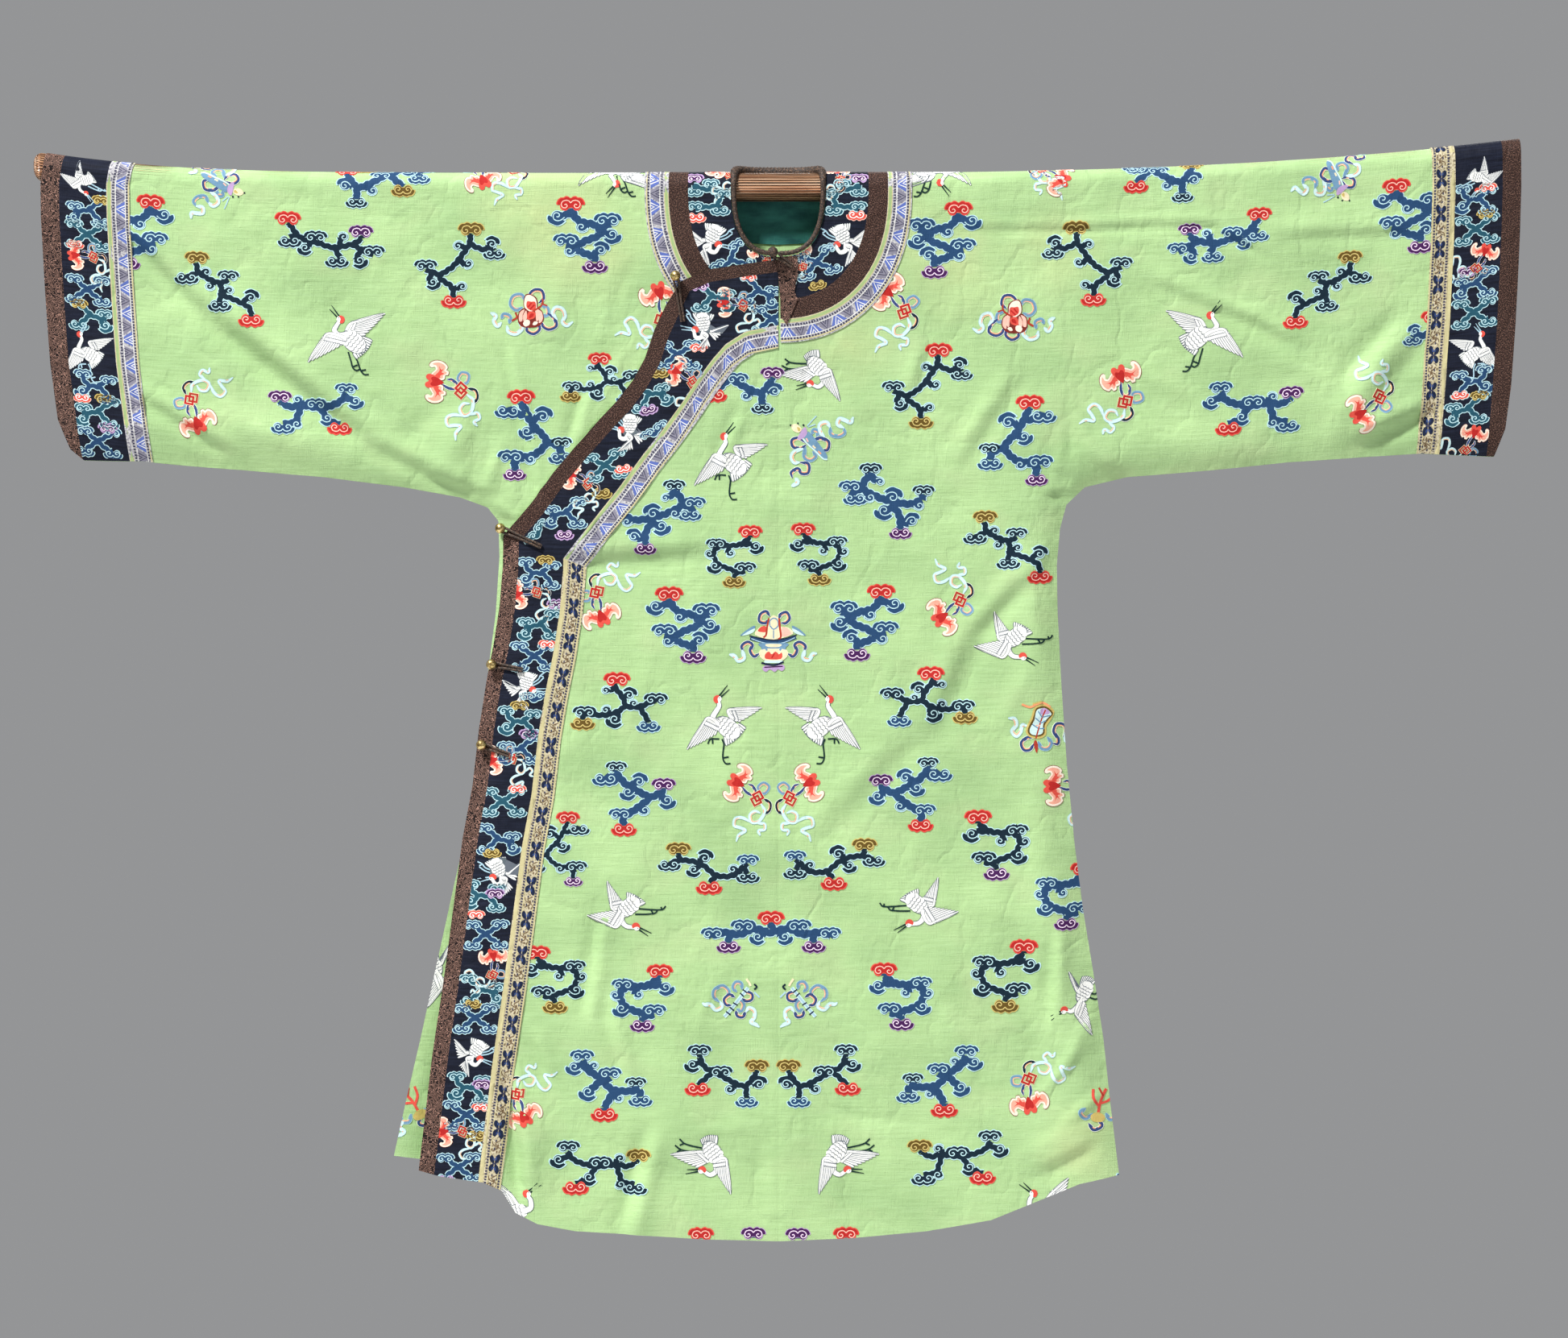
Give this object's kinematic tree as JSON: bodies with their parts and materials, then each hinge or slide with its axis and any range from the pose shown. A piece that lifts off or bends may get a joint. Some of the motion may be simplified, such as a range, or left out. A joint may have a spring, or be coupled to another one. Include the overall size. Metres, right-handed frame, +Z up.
{
  "type": "kesi robe on a hanging rod",
  "caption": "Wide-sleeved T-shaped silk tapestry robe with a side closure and banded collar, front edge and cuffs, hung flat on a bowed wooden rod through both sleeves.",
  "frame": {"origin": "middle of the hanging rod's section at the middle of the neck, where the rod is held", "axes": "+X along the rod towards the wearer's left sleeve, -Y out of the robe's front, +Z up"},
  "size_m": [1.6095, 0.0544, 1.1934],
  "materials": {
    "green_kesi": "matt silk tapestry weave",
    "navy_band": "matt silk tapestry weave",
    "brown_edging": "figured silk",
    "ribbon": "woven silk ribbon",
    "teal_lining": "plain silk",
    "brown_cord": "braided silk",
    "brass": "polished, a little dulled",
    "varnished_wood": "red-brown varnish"
  },
  "bodies": {
    "root": {"half_wearers_right": "green_kesi", "half_wearers_left": "green_kesi", "front_overlap": "green_kesi", "collar_band": "navy_band", "closure_band_slant": "navy_band", "closure_band_side": "navy_band", "cuff_band_left": "navy_band", "cuff_band_right": "navy_band", "collar_edging": "brown_edging", "closure_edging_top": "brown_edging", "closure_edging_slant": "brown_edging", "closure_edging_side": "brown_edging", "closure_edging_end": "brown_edging", "cuff_edging_left": "brown_edging", "cuff_edging_right": "brown_edging", "collar_ribbon": "ribbon", "closure_ribbon_slant": "ribbon", "closure_ribbon_side": "ribbon", "cuff_ribbon_left": "ribbon", "cuff_ribbon_right": "ribbon", "neck_facing": "teal_lining", "neck_binding": "brown_cord", "collar_button": "brown_cord", "collar_loop": "brown_cord", "neck_loop": "brown_cord", "underarm_loop": "brown_cord", "side_upper_loop": "brown_cord", "side_lower_loop": "brown_cord", "neck_button": "brass", "underarm_button": "brass", "side_upper_button": "brass", "side_lower_button": "brass", "hanging_rod": "varnished_wood"}
  },
  "joints": []
}
